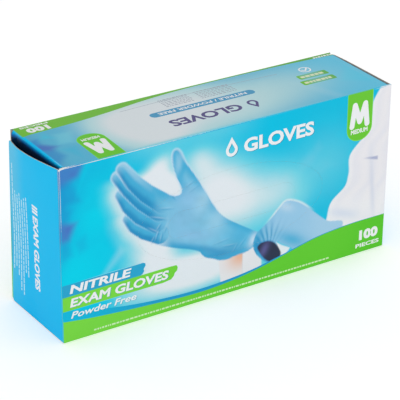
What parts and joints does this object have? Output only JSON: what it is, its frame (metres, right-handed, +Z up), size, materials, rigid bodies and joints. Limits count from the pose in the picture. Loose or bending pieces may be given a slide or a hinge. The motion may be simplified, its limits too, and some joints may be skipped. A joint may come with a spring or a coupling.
{
  "type": "disposable glove dispenser carton",
  "caption": "Printed folding carton of disposable examination gloves, size M, with a perforated dispensing oval, glued end flaps and its stack of gloves.",
  "frame": {"origin": "centre of the base, on the surface that the carton stands on", "axes": "+X along the carton's length, -Y out of the front panel with the dispensing oval, +Z up"},
  "size_m": [0.24, 0.064, 0.116],
  "materials": {
    "printed_board": "clay-coated white-lined chipboard, offset printed in cyan, blue and green, with a satin varnish",
    "raw_board": "uncoated grey-brown recycled board, the carton's inner side",
    "adhesive": "set hot melt and seam glue, translucent amber",
    "nitrile": "thin blue nitrile, matt with finely textured fingertips"
  },
  "bodies": {
    "carton": {"front_panel": "printed_board", "back_panel": "printed_board", "top_panel": "printed_board", "bottom_panel": "printed_board", "seam_flap": "raw_board", "seam_adhesive": "adhesive", "glove_01": "nitrile", "glove_02": "nitrile", "glove_03": "nitrile", "glove_04": "nitrile", "glove_05": "nitrile", "glove_06": "nitrile", "glove_07": "nitrile", "glove_08": "nitrile", "glove_09": "nitrile", "glove_10": "nitrile", "glove_bundle_01": "nitrile", "glove_bundle_02": "nitrile", "glove_bundle_03": "nitrile", "glove_bundle_04": "nitrile", "glove_bundle_05": "nitrile", "glove_bundle_06": "nitrile", "glove_bundle_07": "nitrile", "glove_bundle_08": "nitrile", "glove_bundle_09": "nitrile"},
    "tear_out": {"tear_out_panel": "printed_board"},
    "press_in": {"press_in_tab": "printed_board"},
    "left_outer_flap": {"left_outer_flap": "printed_board"},
    "left_inner_flap": {"left_inner_flap": "raw_board", "left_hot_melt_lower": "adhesive", "left_hot_melt_upper": "adhesive"},
    "left_top_dust_flap": {"left_top_dust_flap": "raw_board"},
    "left_bottom_dust_flap": {"left_bottom_dust_flap": "raw_board"},
    "right_outer_flap": {"right_outer_flap": "printed_board"},
    "right_inner_flap": {"right_inner_flap": "raw_board", "right_hot_melt_lower": "adhesive", "right_hot_melt_upper": "adhesive"},
    "right_top_dust_flap": {"right_top_dust_flap": "raw_board"},
    "right_bottom_dust_flap": {"right_bottom_dust_flap": "raw_board"}
  },
  "joints": [
    {"name": "tear_out_fold", "type": "hinge", "parent": "carton", "child": "tear_out", "pos_m": [0, -0.032, 0.029], "axis": [1, 0, 0], "range_deg": [0, 110]},
    {"name": "press_in_fold", "type": "hinge", "parent": "tear_out", "child": "press_in", "pos_m": [0, -0.0315, 0.05], "axis": [-1, 0, 0], "range_deg": [0, 20]},
    {"name": "left_outer_fold", "type": "hinge", "parent": "carton", "child": "left_outer_flap", "pos_m": [-0.1195, -0.0315, 0], "axis": [0, 0, 1], "range_deg": [0, 120]},
    {"name": "left_inner_fold", "type": "hinge", "parent": "carton", "child": "left_inner_flap", "pos_m": [-0.1181, 0.0315, 0], "axis": [0, 0, -1], "range_deg": [0, 120]},
    {"name": "left_top_dust_fold", "type": "hinge", "parent": "carton", "child": "left_top_dust_flap", "pos_m": [-0.1167, 0, 0.1155], "axis": [0, 1, 0], "range_deg": [0, 84]},
    {"name": "left_bottom_dust_fold", "type": "hinge", "parent": "carton", "child": "left_bottom_dust_flap", "pos_m": [-0.1167, 0, 0.0005], "axis": [0, -1, 0], "range_deg": [0, 84]},
    {"name": "right_outer_fold", "type": "hinge", "parent": "carton", "child": "right_outer_flap", "pos_m": [0.1195, -0.0315, 0], "axis": [0, 0, -1], "range_deg": [0, 120]},
    {"name": "right_inner_fold", "type": "hinge", "parent": "carton", "child": "right_inner_flap", "pos_m": [0.1181, 0.0315, 0], "axis": [0, 0, 1], "range_deg": [0, 120]},
    {"name": "right_top_dust_fold", "type": "hinge", "parent": "carton", "child": "right_top_dust_flap", "pos_m": [0.1167, 0, 0.1155], "axis": [0, -1, 0], "range_deg": [0, 84]},
    {"name": "right_bottom_dust_fold", "type": "hinge", "parent": "carton", "child": "right_bottom_dust_flap", "pos_m": [0.1167, 0, 0.0005], "axis": [0, 1, 0], "range_deg": [0, 84]}
  ],
  "couplings": [
    {"joint": "left_inner_fold", "follows": "left_outer_fold", "ratio": 1},
    {"joint": "left_top_dust_fold", "follows": "left_outer_fold", "ratio": 0.7},
    {"joint": "left_bottom_dust_fold", "follows": "left_outer_fold", "ratio": 0.7},
    {"joint": "right_inner_fold", "follows": "right_outer_fold", "ratio": 1},
    {"joint": "right_top_dust_fold", "follows": "right_outer_fold", "ratio": 0.7},
    {"joint": "right_bottom_dust_fold", "follows": "right_outer_fold", "ratio": 0.7}
  ]
}
